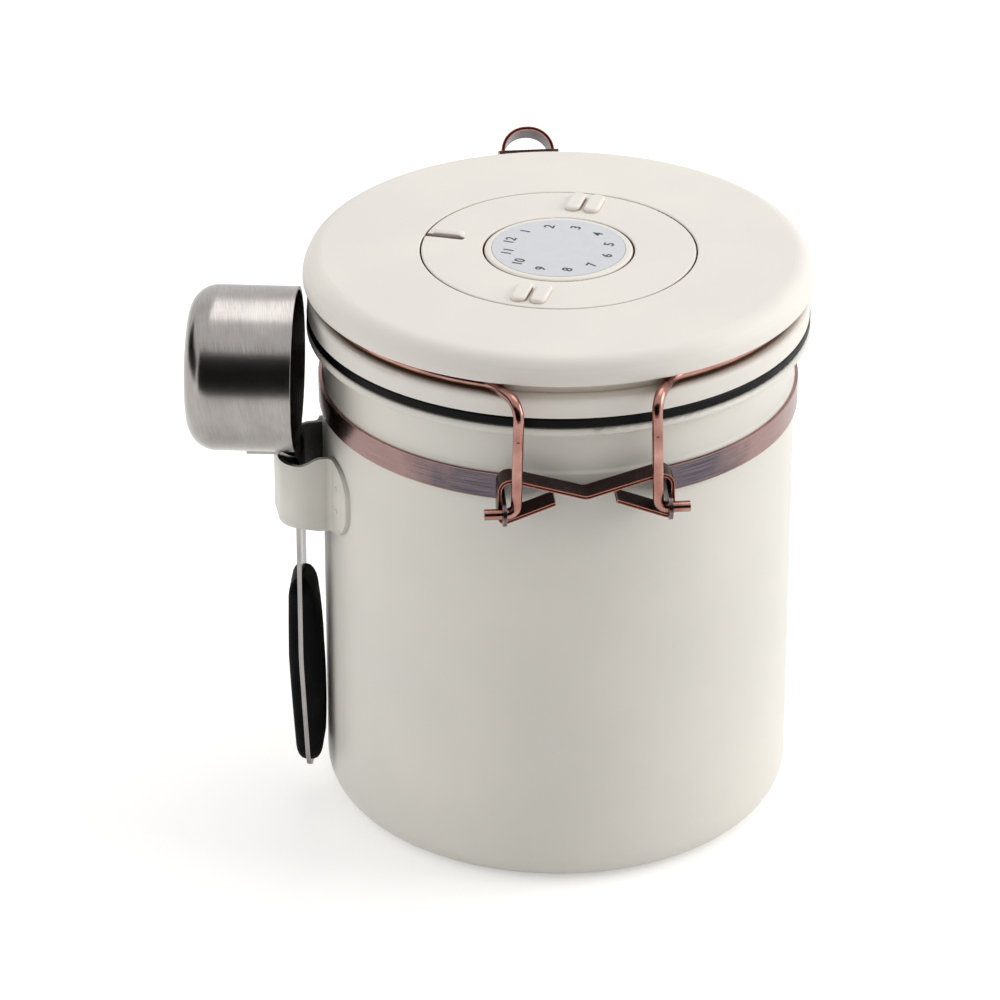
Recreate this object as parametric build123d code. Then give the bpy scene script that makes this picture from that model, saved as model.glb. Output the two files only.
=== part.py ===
from build123d import *
import os
from math import cos, radians, sin, sqrt, tan

# Coffee canister with a wire-hinged lid, a month dial over a gas valve, and a scoop in a holster.
# Units are millimetres. +Z is up and the origin is the centre of the base.
# The hinge is on the -Y side, the latch on the +Y side and the scoop hangs on the -X side.

# Canister body
body_radius = 62.5
body_wall = 0.9
base_round = 9.0
rim_height = 137.3
neck_step = 0.4
neck_radius = body_radius - neck_step
neck_height = 13.7
shoulder_top = rim_height - neck_height
shoulder_drop = 1.0
shoulder_low = shoulder_top - shoulder_drop
shoulder_round = 1.2
bead_overhang = 4.2
bead_radius = neck_radius + bead_overhang
bead_height = 2.4
bead_round = 1.1
mouth_round = 0.4

# Clamp band round the neck, with the two hinge ears
band_drop = 22.1
band_low = rim_height - band_drop
band_height = 7.0
band_thickness = 0.9
ear_offset = 21.1
ear_thickness = 1.0
ear_round = 3.2
ear_bend = 1.0

# Lid wire: hinge pins, legs, the run in the lid's groove and the bight for the latch
wire_radius = 1.4
running_gap = 0.05
hinge_offset = 9.0
hinge_reach = body_radius + hinge_offset
hinge_lift = 1.8
hinge_height = band_low + hinge_lift
pin_length = 8.1
leg_foot = 18.1
leg_top = 17.3
leg_foot_bend = 2.4
leg_top_bend = 4.6
hinge_entry_angle = 24.0
hinge_entry_bend = 8.0
bight_offset = 12.4
bight_corner = 11.0
bight_bend = 2.5
bight_entry_angle = 15.0
bight_entry_bend = 5.0

# Bent tie that pulls the two ears together
tie_thickness = 0.9
tie_width = 6.6
tie_wall_gap = 0.5
tie_middle_lift = 2.4
tie_top_lift = 9.0
tie_bottom_drop = 4.2
tie_arm_end = 7.8
tie_arm_lift = 1.2
tie_top_bend = 2.8
tie_bottom_bend = 1.4
tie_middle_bend = 3.0

# Lid: the collar and gasket follow the rim, and the lid's edge overhangs them
lid_gap = 0.3
gasket_height = 2.7
gasket_inset = 0.1
gasket_radius = bead_radius - gasket_inset
gasket_width = 6.0
gasket_round = 0.5
collar_low = rim_height + lid_gap + gasket_height
collar_height = 5.0
collar_top = collar_low + collar_height
collar_inset = 0.3
collar_radius = bead_radius - collar_inset
collar_round = 1.2
collar_ledge = 1.0
collar_ledge_width = 3.9
groove_depth = 4.6
groove_radius = collar_radius - groove_depth
groove_wire_gap = 0.8
groove_wire_height = collar_top + groove_wire_gap + wire_radius
lid_wire_gap = 0.6
lid_disc_low = groove_wire_height + wire_radius + lid_wire_gap
lid_disc_height = 7.3
lid_top_height = lid_disc_low + lid_disc_height
lid_overhang = 0.8
lid_radius = bead_radius + lid_overhang
bight_reach = lid_radius + bight_offset
lid_wall = 2.0
lid_crown_inset = 2.3
lid_crown_drop = 5.0
lid_crown_round = 4.5
lid_edge_round = 6.0
lid_lip_round = 0.7
neck_wall = 2.0
liner_thickness = 0.8
liner_gap = 0.3
pan_gap = 7.2
pan_radius = neck_radius - body_wall - pan_gap
pan_depth = 5.8
pan_bend = 1.0
vent_radius = 1.3
vent_reach = 14.0
vent_count = 12

# Month dial in the lid
ring_radius = 36.0
ring_seam = 0.35
ring_thickness = 3.9
ring_float = 0.1
cap_radius = 19.5
cap_seam = 0.4
ring_hole = cap_radius + cap_seam
ring_edge_round = 0.5
ledge_width = 2.6
ledge_height = 1.0
pointer_angle = 160.0
slot_width = 1.9
slot_depth = 2.4
slot_length = 10.5
ridge_radius = 2.2
ridge_rise = 0.9
ridge_setback = 1.4
ridge_end_gap = 0.6
grip_length = 10.3
grip_width = 4.1
grip_pitch = 5.1
grip_rise = 1.2
grip_inset = 7.15
grip_corner = 1.9
grip_edge = 0.7
cap_gap = 0.3
cap_rise = 0.2
cap_round = 0.9
cap_ledge_gap = 0.5
cap_stem_wall = 2.0
label_rim = 2.0
label_gap = 0.1
label_recess = 0.35
label_thickness = 0.4

# One-way gas valve under the dial
valve_bore = 10.0
valve_clearance = 0.1
valve_flange_width = 2.6
valve_flange_thickness = 0.9
valve_wall = 1.4
valve_depth = 7.2
seat_plate_thickness = 1.0
seat_hole_radius = 0.9
seat_hole_reach = 4.2
seat_hole_count = 6
disc_side_gap = 1.1
disc_thickness = 0.8
disc_lift = 0.8
disc_seat_gap = 0.05
stem_radius = 1.2
stem_drop = 1.0
stem_clearance = 0.1
filter_thickness = 1.2
retainer_thickness = 0.8
retainer_bar = 2.2
retainer_hub = 2.6

# Latch lever on the wire's bight and the keeper on the band
lever_thickness = 1.0
lever_side_gap = 0.2
lever_plate_width = 13.0
lever_knee_drop = 7.0
lever_foot_drop = 18.5
lever_bend_drop = 1.3
lever_tail_drop = 6.8
lever_tail_run = 4.5
lever_bend_round = 3.0
lever_bead_radius = 0.7
lever_bead_gap = 0.4
loop_tilt = 42.0
loop_half_width = 6.8
loop_rise = 8.8
loop_depth = 7.2
loop_corner = 6.5
loop_thickness = 1.0
keeper_width = 11.0
keeper_thickness = 1.0
keeper_shelf = 8.0
keeper_shelf_lift = 2.0
keeper_foot_drop = 1.7
keeper_lip = 1.9

# Holster for the scoop
holster_angle = 184.6
holster_thickness = 1.2
holster_depth = 13.1
holster_half_width = 11.4
holster_corner = 7.5
holster_drop = 51.1
holster_height = 18.2
flange_height = 21.2
flange_low_drop = 0.9
flange_span = 20.6
flange_corner = 8.5
flange_step = 3.5
flange_taper = 4.5
flange_step_round = 4.0
holster_root_bend = 1.6

# Scoop
scoop_standoff = 6.9
scoop_twist = -13.4
cup_radius = 21.8
cup_depth = 28.3
cup_wall = 0.9
cup_base_round = 7.5
cup_seat_gap = 0.3
handle_thickness = 1.2
handle_width = 14.0
handle_bend = 2.2
tang_setback = 0.1
tab_length = 13.5
tab_width = 9.0
handle_tip_height = 9.4
handle_tip_offset = 1.6
handle_knee_share = 0.573
handle_knee_bend = 120.0
handle_tip_round = 6.0
pad_tip_gap = 2.6
pad_holster_gap = 18.4
pad_outer_thickness = 2.9
pad_outer_end_thickness = 2.5
pad_inner_thickness = 4.7
pad_inner_top_thickness = 2.4
pad_inner_low_thickness = 2.9
pad_swell_share = 0.54
pad_end_length = 5.0
pad_edge_round_share = 0.7
pad_end_width_share = 0.5
# Degrees of a quarter round at which a pad's end has its sections, and the sections between the ends
pad_end_turns = (12, 24, 36, 48, 60, 75, 90)
pad_middle_sections = 9

# One overrun serves every cut, so that no cutter ends flush with a face
overrun = 1.0


def outline(corners):
    """Closed flat face from rows of (x, y, corner round)."""
    points = [(x, y) for x, y, _ in corners]
    rounds = [corner for _, _, corner in corners]
    return make_face(FilletPolyline(*points, radius=rounds, close=True))


def turned(corners):
    """Solid turned about the upright axis from rows of (radius, height, corner round)."""
    return revolve(Plane.XZ * outline(corners), Axis.Z)


def upright_ring(outer, inner, low, high):
    """Plain ring about the upright axis."""
    return turned([(inner, low, 0), (outer, low, 0), (outer, high, 0), (inner, high, 0)])


def standing_drum(radius, low, high):
    """Plain drum about the upright axis."""
    return Location((0, 0, low)) * extrude(Circle(radius), high - low)


def block(x_low, x_high, y_low, y_high, z_low, z_high):
    """Square-edged block between two corners."""
    middle = ((x_low + x_high) / 2, (y_low + y_high) / 2, (z_low + z_high) / 2)
    return Location(middle) * Box(x_high - x_low, y_high - y_low, z_high - z_low)


def bent_strip(points, bends, width, thickness, across):
    """Flat strip swept along rounded corners, its width along one direction."""
    path = Wire(FilletPolyline(*points, radius=bends).edges())
    start = Plane(origin=path @ 0, x_dir=across, z_dir=path % 0)
    return sweep(start * Rectangle(width, thickness), path=path)


def body_profile(inset):
    """Outside of the body, drawn inward by a wall, from the axis up to the rim."""
    return [
        (0, inset, 0),
        (body_radius - inset, inset, base_round - inset),
        (body_radius - inset, shoulder_low, shoulder_round),
        (neck_radius - inset, shoulder_top, shoulder_round),
    ]


def canister_shell():
    """Drawn steel body with a rounded base, a slightly narrower neck and a rolled rim."""
    bead_low = rim_height - bead_height
    outside = body_profile(0) + [
        (neck_radius, bead_low, 0),
        (bead_radius, bead_low, bead_round),
        (bead_radius, rim_height, bead_round),
        (neck_radius - body_wall, rim_height, mouth_round),
    ]
    inside = list(reversed(body_profile(body_wall)))
    return turned(outside + inside)


def ear_profile():
    """Side view of an ear: as high as the band at its root, round about the hinge pin."""
    band_top = band_low + band_height
    root = -sqrt(body_radius ** 2 - (ear_offset + ear_thickness) ** 2) + overrun
    tongue = outline([
        (root, band_low, 0),
        (-hinge_reach, band_low, 0),
        (-hinge_reach, hinge_height + ear_round, 0),
        (-body_radius, band_top, 0),
        (root, band_top, 0),
    ])
    pin = Location((-hinge_reach, hinge_height))
    return tongue + pin * Circle(ear_round) - pin * Circle(wire_radius + running_gap)


def clamp_band():
    """Steel band round the body, its two ends bent outward into hinge ears."""
    outer = body_radius + band_thickness
    band_top = band_low + band_height
    ring = upright_ring(outer, body_radius, band_low, band_top)
    mouth = ear_offset - ear_thickness / 2
    front = block(-mouth, mouth, -outer - overrun, 0, band_low - overrun, band_top + overrun)
    band = ring - front
    inside = standing_drum(body_radius, band_low - ear_round, band_top + ear_round)
    for side in (-1, 1):
        ear = extrude(Plane.YZ * ear_profile(), ear_thickness / 2, both=True)
        band += Location((side * ear_offset, 0, 0)) * ear - inside
    root_reach = sqrt(outer ** 2 - (ear_offset + ear_thickness / 2) ** 2)
    corners = band.edges().filter_by(Axis.Z).filter_by(
        lambda edge: abs(abs(edge.center().X) - ear_offset) < ear_thickness
        and abs(edge.center().Y + root_reach) < ear_bend / 2
    )
    return fillet(corners, ear_bend)


def band_tie():
    """Bent strip whose closed ends grip the ears and whose bowed middle draws them together."""
    wall = ear_offset + ear_thickness / 2 + tie_thickness / 2
    half = [
        (tie_arm_end, hinge_height + tie_arm_lift),
        (wall, hinge_height - tie_bottom_drop),
        (wall, hinge_height + tie_top_lift),
    ]
    outer_face = -hinge_reach + wire_radius + tie_wall_gap
    depth = outer_face + tie_width / 2
    points = [(-x, depth, z) for x, z in half]
    points += [(0, depth, hinge_height + tie_middle_lift)]
    points += [(x, depth, z) for x, z in reversed(half)]
    bends = [tie_bottom_bend, tie_top_bend, tie_middle_bend, tie_top_bend, tie_bottom_bend]
    return bent_strip(points, bends, tie_width, tie_thickness, (0, 1, 0))


def polar(radius, angle, height):
    """Point at an angle counted from +X about the upright axis."""
    return Vector(radius * cos(radians(angle)), radius * sin(radians(angle)), height)


def entry_corner(radius, angle, bend, goal, turn):
    """Corner beyond a groove arc's end, where a tangent arc leads on towards a goal."""
    end = polar(radius, angle, groove_wire_height)
    along = polar(1, angle + turn * 90, 0)
    reach = bend
    for _ in range(12):
        corner = end + along * reach
        towards = (goal - corner).normalized()
        half_turn = radians(along.get_angle(towards)) / 2
        reach = bend * tan(half_turn)
    return end, end + along * reach, reach


def lid_wire():
    """One wire: two hinge pins, two legs, the run in the groove and the bight at the latch."""
    groove_run = groove_radius + wire_radius + running_gap
    side_points = [
        Vector(leg_foot + pin_length, -hinge_reach, hinge_height),
        Vector(leg_foot, -hinge_reach, hinge_height),
        Vector(leg_top, -hinge_reach, groove_wire_height),
    ]
    hinge_end, hinge_corner, hinge_run = entry_corner(
        groove_run, hinge_entry_angle - 90, hinge_entry_bend, side_points[-1], -1
    )
    bight_point = Vector(bight_corner, bight_reach, groove_wire_height)
    bight_end, bight_turn, bight_run = entry_corner(
        groove_run, 90 - bight_entry_angle, bight_entry_bend, bight_point, 1
    )
    middle = polar(groove_run, (hinge_entry_angle - bight_entry_angle) / 2, groove_wire_height)

    leg_meets = hinge_corner + (side_points[-1] - hinge_corner).normalized() * hinge_run
    bight_meets = bight_turn + (bight_point - bight_turn).normalized() * bight_run
    leg = FilletPolyline(*side_points, leg_meets, radius=[leg_foot_bend, leg_top_bend])
    leg_out = (hinge_corner - side_points[-1]).normalized()
    bight_out = (bight_point - bight_turn).normalized()
    bight = FilletPolyline(
        bight_meets, bight_point, Vector(0, bight_reach, groove_wire_height), radius=[bight_bend]
    )
    right = [
        *leg.edges(),
        TangentArc(leg_meets, hinge_end, tangent=leg_out).edge(),
        ThreePointArc(hinge_end, middle, bight_end).edge(),
        TangentArc(bight_meets, bight_end, tangent=-bight_out).edge(),
        *bight.edges(),
    ]
    path = Wire(right)
    start = Plane(origin=side_points[0], z_dir=(-1, 0, 0))
    half = sweep(start * Circle(wire_radius), path=path)
    return half + mirror(half, about=Plane.YZ)


def lid_shell():
    """Moulded lid: crowned top, wire groove below its lip, and a pocket for the month dial."""
    pocket = ring_radius + ring_seam
    pocket_floor = lid_top_height - ring_thickness - ring_float
    under_top = lid_top_height - lid_wall
    under_floor = pocket_floor - lid_wall
    neck_inside = groove_radius - neck_wall
    neck_low = collar_low + collar_ledge
    corners = [
        (valve_bore, under_floor, 0),
        (pocket + lid_wall, under_floor, 0),
        (pocket + lid_wall, under_top, 0),
        (neck_inside, under_top, lid_wall),
        (neck_inside, neck_low, 0),
        (groove_radius, neck_low, 0),
        (groove_radius, lid_disc_low, lid_lip_round),
        (lid_radius, lid_disc_low, lid_lip_round),
        (lid_radius, lid_top_height - lid_crown_drop, lid_edge_round),
        (lid_radius - lid_crown_inset, lid_top_height, lid_crown_round),
        (pocket, lid_top_height, ring_edge_round),
        (pocket, pocket_floor, 0),
        (valve_bore, pocket_floor, 0),
    ]
    return turned(corners)


def lid_collar():
    """Lower ring of the lid: the wire bears on its top and the gasket lies under it."""
    inside = groove_radius + running_gap
    ledge_inside = groove_radius - collar_ledge_width
    return turned([
        (ledge_inside, collar_low, 0),
        (collar_radius, collar_low, 0),
        (collar_radius, collar_top, collar_round),
        (inside, collar_top, 0),
        (inside, collar_low + collar_ledge, 0),
        (ledge_inside, collar_low + collar_ledge, 0),
    ])


def lid_gasket():
    """Soft sealing ring between the collar and the rolled rim."""
    low = rim_height + lid_gap
    inside = gasket_radius - gasket_width
    return turned([
        (inside, low, 0),
        (gasket_radius, low, gasket_round),
        (gasket_radius, collar_low, gasket_round),
        (inside, collar_low, 0),
    ])


def lid_liner():
    """Pressed steel pan under the lid, with a ring of vent holes to the valve."""
    edge = gasket_radius - gasket_width - liner_gap
    flange_low_face = collar_low - liner_thickness
    pan_low = collar_low - pan_depth
    pan = turned([
        (0, pan_low, 0),
        (pan_radius, pan_low, pan_bend + liner_thickness),
        (pan_radius, flange_low_face, 0),
        (edge, flange_low_face, 0),
        (edge, collar_low, 0),
        (pan_radius - liner_thickness, collar_low, 0),
        (pan_radius - liner_thickness, pan_low + liner_thickness, pan_bend),
        (0, pan_low + liner_thickness, 0),
    ])
    hole = standing_drum(vent_radius, pan_low - overrun, pan_low + liner_thickness + overrun)
    for place in PolarLocations(vent_reach, vent_count):
        pan -= place * hole
    return pan


def dial_face(height):
    """Turned frame at the dial's height: local X points from the centre to the pointer."""
    return Location((0, 0, height), (0, 0, pointer_angle))


def date_ring():
    """Turning ring with a pointer slot and ridge, and two pairs of finger grips."""
    low = lid_top_height - ring_thickness
    ledge_inside = ring_hole - ledge_width
    ring = turned([
        (ledge_inside, low, 0),
        (ring_radius, low, 0),
        (ring_radius, lid_top_height, ring_edge_round),
        (ring_hole, lid_top_height, ring_edge_round),
        (ring_hole, low + ledge_height, 0),
        (ledge_inside, low + ledge_height, 0),
    ])
    slot_inner = ring_radius - slot_length
    slot_reach = slot_length + overrun
    slot = SlotOverall(slot_reach * 2, slot_width)
    ridge_length = ring_radius - ridge_end_gap - slot_inner
    ridge_middle = (slot_inner + ring_radius - ridge_end_gap) / 2
    ridge_side = -slot_width / 2 - ridge_setback
    ridge_bar = Rot(0, 90, 0) * Cylinder(ridge_radius, ridge_length - ridge_radius * 2)
    ridge_end = Sphere(ridge_radius)
    half_bar = ridge_length / 2 - ridge_radius
    ridge = ridge_bar + Location((-half_bar, 0, 0)) * ridge_end + Location((half_bar, 0, 0)) * ridge_end
    ridge_height = lid_top_height + ridge_rise - ridge_radius
    ring += dial_face(ridge_height) * Location((ridge_middle, ridge_side, 0)) * ridge
    slot_place = dial_face(lid_top_height - slot_depth) * Location((slot_inner + slot_reach, 0))
    ring -= slot_place * extrude(slot, slot_depth + overrun)
    pad = extrude(RectangleRounded(grip_width, grip_length, grip_corner), grip_rise)
    pad = fillet(pad.faces().sort_by(Axis.Z)[-1].edges(), grip_edge)
    for side in (-1, 1):
        for step in (-1, 1):
            place = Location((step * grip_pitch / 2, side * (ring_radius - grip_inset), 0))
            ring += dial_face(lid_top_height) * place * pad
    return ring


def dial_cap():
    """Fixed centre cap whose rim holds the ring down and whose stem stands on the pocket floor."""
    floor = lid_top_height - ring_thickness - ring_float
    under = lid_top_height - ring_thickness + ledge_height + cap_gap
    top = lid_top_height + cap_rise
    cap_stem_radius = ring_hole - ledge_width - cap_ledge_gap
    pocket = cap_radius - label_rim + label_gap
    return turned([
        (0, under, 0),
        (cap_stem_radius - cap_stem_wall, under, 0),
        (cap_stem_radius - cap_stem_wall, floor, 0),
        (cap_stem_radius, floor, 0),
        (cap_stem_radius, under, 0),
        (cap_radius, under, 0),
        (cap_radius, top, cap_round),
        (pocket, top, 0),
        (pocket, top - label_recess, 0),
        (0, top - label_recess, 0),
    ])


def dial_label():
    """Thin printed disc let into the cap."""
    low = lid_top_height + cap_rise - label_recess
    return standing_drum(cap_radius - label_rim, low, low + label_thickness)


def valve_levels():
    """Heights of the pocket floor, the retainer's underside and the seat the disc rests on."""
    floor = lid_top_height - ring_thickness - ring_float
    retainer_low = floor + valve_flange_thickness - retainer_thickness
    seat_top = retainer_low - valve_clearance - disc_lift - disc_thickness - disc_seat_gap
    return floor, retainer_low, seat_top


def valve_seat():
    """Flanged cup in the lid's centre bore, with a holed plate that the disc closes."""
    floor, _, seat_top = valve_levels()
    foot = floor - valve_depth
    outside = valve_bore - valve_clearance
    inside = outside - valve_wall
    seat_low = seat_top - seat_plate_thickness
    cup = turned([
        (stem_radius + stem_clearance, seat_low, 0),
        (inside, seat_low, 0),
        (inside, foot, 0),
        (outside, foot, 0),
        (outside, floor, 0),
        (valve_bore + valve_flange_width, floor, 0),
        (valve_bore + valve_flange_width, floor + valve_flange_thickness, 0),
        (inside, floor + valve_flange_thickness, 0),
        (inside, seat_top, 0),
        (stem_radius + stem_clearance, seat_top, 0),
    ])
    hole = standing_drum(seat_hole_radius, seat_low - overrun, seat_top + overrun)
    for place in PolarLocations(seat_hole_reach, seat_hole_count):
        cup -= place * hole
    return cup


def valve_disc():
    """Soft disc with a guide stem, lifted by gas pressure."""
    _, _, seat_top = valve_levels()
    low = seat_top + disc_seat_gap
    disc_radius = valve_bore - valve_clearance - valve_wall - disc_side_gap
    disc = standing_drum(disc_radius, low, low + disc_thickness)
    stem_low = seat_top - seat_plate_thickness - stem_drop
    return disc + standing_drum(stem_radius, stem_low, low + disc_thickness)


def valve_retainer():
    """Crossed bars over the disc that limit its lift."""
    _, low, _ = valve_levels()
    inside = valve_bore - valve_clearance - valve_wall - valve_clearance
    top = low + retainer_thickness
    rim = upright_ring(inside, inside - retainer_bar, low, top)
    drum = standing_drum(inside - retainer_bar / 2, low, top)
    bars = standing_drum(retainer_hub, low, top)
    for turn in (0, 90):
        bar = block(-inside, inside, -retainer_bar / 2, retainer_bar / 2, low, top)
        bars += Rot(0, 0, turn) * bar & drum
    return rim + bars


def valve_filter():
    """Paper filter in the valve's foot that keeps grounds out of the seat."""
    _, _, seat_top = valve_levels()
    top = seat_top - seat_plate_thickness - stem_drop - valve_clearance
    radius = valve_bore - valve_clearance - valve_wall - valve_clearance
    return standing_drum(radius, top - filter_thickness, top)


def keeper_place():
    """Reach and lower edge of the keeper's lip, which the lever's bead rests beside."""
    reach = body_radius + band_thickness + keeper_shelf
    return reach, band_low + keeper_shelf_lift - keeper_thickness - keeper_lip


def latch_lever():
    """Strip rolled round the bight, with a finger loop above and a plate down to the keeper."""
    barrel_inner = wire_radius + running_gap
    barrel_outer = barrel_inner + lever_thickness
    barrel_half = bight_corner - bight_bend - lever_side_gap
    keeper_reach, lip_low = keeper_place()
    foot_reach = keeper_reach + lever_bead_gap + lever_bead_radius + lever_thickness / 2
    pivot = Location((0, bight_reach, groove_wire_height), (0, 90, 0))
    barrel = pivot * Cylinder(barrel_outer, barrel_half * 2)
    plate_line = bight_reach - barrel_inner - lever_thickness / 2
    plate = bent_strip(
        [
            (0, plate_line, groove_wire_height),
            (0, plate_line, groove_wire_height - lever_knee_drop),
            (0, foot_reach, groove_wire_height - lever_foot_drop),
            (0, foot_reach, lip_low - lever_bend_drop),
            (0, foot_reach + lever_tail_run, lip_low - lever_tail_drop),
        ],
        [lever_bend_round] * 3,
        lever_plate_width,
        lever_thickness,
        (1, 0, 0),
    )
    bead_place = (0, foot_reach - lever_thickness / 2, lip_low)
    bead = Location(bead_place, (0, 90, 0)) * Cylinder(lever_bead_radius, keeper_width)
    arch = bent_strip(
        [
            (loop_half_width, 0, 0),
            (loop_half_width, loop_rise, 0),
            (-loop_half_width, loop_rise, 0),
            (-loop_half_width, 0, 0),
        ],
        [loop_corner] * 2,
        loop_depth,
        loop_thickness,
        (0, 0, 1),
    )
    tunnel_out = Vector(0, cos(radians(loop_tilt)), -sin(radians(loop_tilt)))
    root = Vector(0, bight_reach, groove_wire_height) + tunnel_out * (loop_depth / 2)
    loop = Plane(origin=root, x_dir=(-1, 0, 0), z_dir=tunnel_out) * arch
    bore = pivot * Cylinder(barrel_inner, (barrel_half + overrun) * 2)
    return barrel + plate + bead + loop - bore


def latch_keeper():
    """Bracket on the band that the lever's bead snaps under."""
    inside = body_radius + band_thickness
    outside = inside + keeper_thickness
    half = keeper_width / 2
    low = band_low - keeper_foot_drop
    top = band_low + band_height
    reach, lip_low = keeper_place()
    shelf_low = lip_low + keeper_lip
    shelf_top = shelf_low + keeper_thickness
    curved = upright_ring(outside, inside, low, top)
    plate = curved & block(-half, half, 0, outside + overrun, low, top)
    shelf = block(-half, half, inside, reach, shelf_low, shelf_top)
    shelf -= standing_drum(inside, shelf_low, shelf_top)
    lip = block(-half, half, reach - keeper_thickness, reach, lip_low, shelf_low)
    return plate + shelf + lip


def around_body(angle, solid):
    """Turns a piece modelled on the +X side to its place round the body."""
    return Rot(0, 0, angle) * solid


def holster_levels():
    """Heights of the holster's loop: its lower and its upper edge."""
    low = rim_height - holster_drop
    return low, low + holster_height


def holster():
    """U-shaped strap spot-welded to the body, open at the top and bottom for the scoop's handle."""
    loop_low, loop_top = holster_levels()
    flange_low = loop_low - flange_low_drop
    flange_top = flange_low + flange_height
    holster_reach = body_radius + holster_depth
    reach = holster_reach - holster_thickness
    half = holster_half_width - holster_thickness
    start = body_radius - holster_corner
    outer = outline([
        (0, -holster_half_width, 0),
        (holster_reach, -holster_half_width, holster_corner),
        (holster_reach, holster_half_width, holster_corner),
        (0, holster_half_width, 0),
    ])
    inner = outline([
        (0, -half, 0),
        (reach, -half, holster_corner - holster_thickness),
        (reach, half, holster_corner - holster_thickness),
        (0, half, 0),
    ])
    skin = Circle(body_radius + holster_thickness) - Circle(body_radius)
    flange_reach = (flange_span + overrun) * 2
    flanges = skin & Location((body_radius, 0)) * Rectangle(holster_corner * 2, flange_reach)
    plan = (outer - inner + flanges) - Circle(body_radius) - inner
    roots = plan.vertices().filter_by(
        lambda corner: corner.X > start
        and abs(abs(corner.Y) - holster_half_width) < holster_thickness / 2
        and abs(sqrt(corner.X ** 2 + corner.Y ** 2) - body_radius - holster_thickness)
        < holster_thickness / 2
    )
    plan = fillet(roots, holster_root_bend)
    strap = Location((0, 0, flange_low)) * extrude(plan, flange_height)
    step = body_radius + flange_step
    side_view = outline([
        (start, flange_low, 0),
        (step, flange_low, flange_step_round),
        (step + flange_taper, loop_low, flange_step_round),
        (holster_reach + overrun, loop_low, 0),
        (holster_reach + overrun, loop_top, 0),
        (step + flange_taper, loop_top, flange_step_round),
        (step, flange_top, flange_step_round),
        (start, flange_top, 0),
    ])
    strap &= extrude(Plane.XZ * side_view, flange_span * 2, both=True)
    front_view = RectangleRounded(flange_span * 2, flange_height, flange_corner)
    front_plane = Plane.YZ * Location((0, flange_low + flange_height / 2))
    strap &= extrude(front_plane * front_view, holster_reach * 2)
    return around_body(holster_angle, strap)


def scoop_frame():
    """Frame of the hanging scoop: local X points out along the cup's axis, local Z is up."""
    origin = polar(body_radius + scoop_standoff, holster_angle, 0)
    return Location(tuple(origin), (0, 0, holster_angle + scoop_twist))


def cup_height():
    """Height of the cup's axis, so that its tab rests just above the holster."""
    return holster_levels()[1] + cup_seat_gap + handle_thickness + cup_radius


def scoop_cup():
    """Drawn steel cup lying on its side, open towards the canister."""
    cup = turned([
        (0, cup_depth, 0),
        (cup_radius, cup_depth, cup_base_round),
        (cup_radius, 0, 0),
        (cup_radius - cup_wall, 0, 0),
        (cup_radius - cup_wall, cup_depth - cup_wall, cup_base_round - cup_wall),
        (0, cup_depth - cup_wall, 0),
    ])
    return scoop_frame() * Location((0, 0, cup_height()), (0, 90, 0)) * cup


def pad_levels():
    """Heights of the grips' lower and upper ends, between the handle's tip and the holster."""
    return handle_tip_height + pad_tip_gap, holster_levels()[0] - pad_holster_gap


def handle_knee():
    """Height of the knee, below which the tang leans in."""
    low, high = pad_levels()
    return low + (high - low) * handle_knee_share


def tang_middle(height):
    """Local x of the middle of the tang at a height."""
    knee = handle_knee()
    lean = handle_tip_offset / (knee - handle_tip_height)
    return -tang_setback - lean * max(knee - height, 0)


def handle_sheet(width):
    """Bent strip of the handle: a level tab, then the tang down to its leaning tip."""
    tab_line = cup_height() - cup_radius - handle_thickness / 2
    knee = handle_knee()
    return bent_strip(
        [
            (tab_length, 0, tab_line),
            (tang_middle(tab_line), 0, tab_line),
            (tang_middle(knee), 0, knee),
            (tang_middle(handle_tip_height), 0, handle_tip_height),
        ],
        [handle_bend, handle_knee_bend],
        width,
        handle_thickness,
        (0, 1, 0),
    )


def scoop_handle():
    """Steel strip with its tab saddled to the cup and its tang between the two grips."""
    half = handle_width / 2
    tab_half = tab_width / 2
    tab_low = cup_height() - cup_radius - handle_thickness
    saddle_top = cup_height() - sqrt(cup_radius ** 2 - tab_half ** 2)
    saddle = block(handle_bend, tab_length, -tab_half, tab_half, tab_low, saddle_top)
    cup_space = Location((0, 0, cup_height()), (0, 90, 0)) * Cylinder(cup_radius, cup_depth * 2)
    front_view = outline([
        (-half, handle_tip_height, handle_tip_round),
        (half, handle_tip_height, handle_tip_round),
        (half, saddle_top, 0),
        (-half, saddle_top, 0),
    ])
    step = handle_bend + half - tab_half
    top_view = outline([
        (-tab_length, -half, 0),
        (handle_bend, -half, 0),
        (step, -tab_half, 0),
        (tab_length + overrun, -tab_half, 0),
        (tab_length + overrun, tab_half, 0),
        (step, tab_half, 0),
        (handle_bend, half, 0),
        (-tab_length, half, 0),
    ])
    handle = handle_sheet(handle_width) + saddle - cup_space
    handle &= extrude(Plane.YZ * front_view, tab_length + overrun, both=True)
    handle &= extrude(top_view, cup_height())
    return scoop_frame() * handle


def pad_section(side, height, width, thickness):
    """Level section of a pad: flat on the tang, with soft outer edges."""
    middle = tang_middle(height)
    face = middle + side * (handle_thickness / 2 + thickness)
    soft = thickness * pad_edge_round_share
    return Location((0, 0, height)) * outline([
        (middle, -width / 2, 0),
        (face, -width / 2, soft),
        (face, width / 2, soft),
        (middle, width / 2, 0),
    ])


def pad_rows():
    """Heights of a pad's sections, each with the share of its thickness that the round ends leave."""
    low, high = pad_levels()
    end = []
    for turn in pad_end_turns:
        end.append((pad_end_length * (1 - cos(radians(turn))), sin(radians(turn))))
    lower = [(low + along, share) for along, share in end]
    upper = [(high - along, share) for along, share in reversed(end)]
    first = low + pad_end_length
    step = (high - pad_end_length - first) / (pad_middle_sections + 1)
    between = [(first + step * row, 1) for row in range(1, pad_middle_sections + 1)]
    return lower + between + upper


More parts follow.
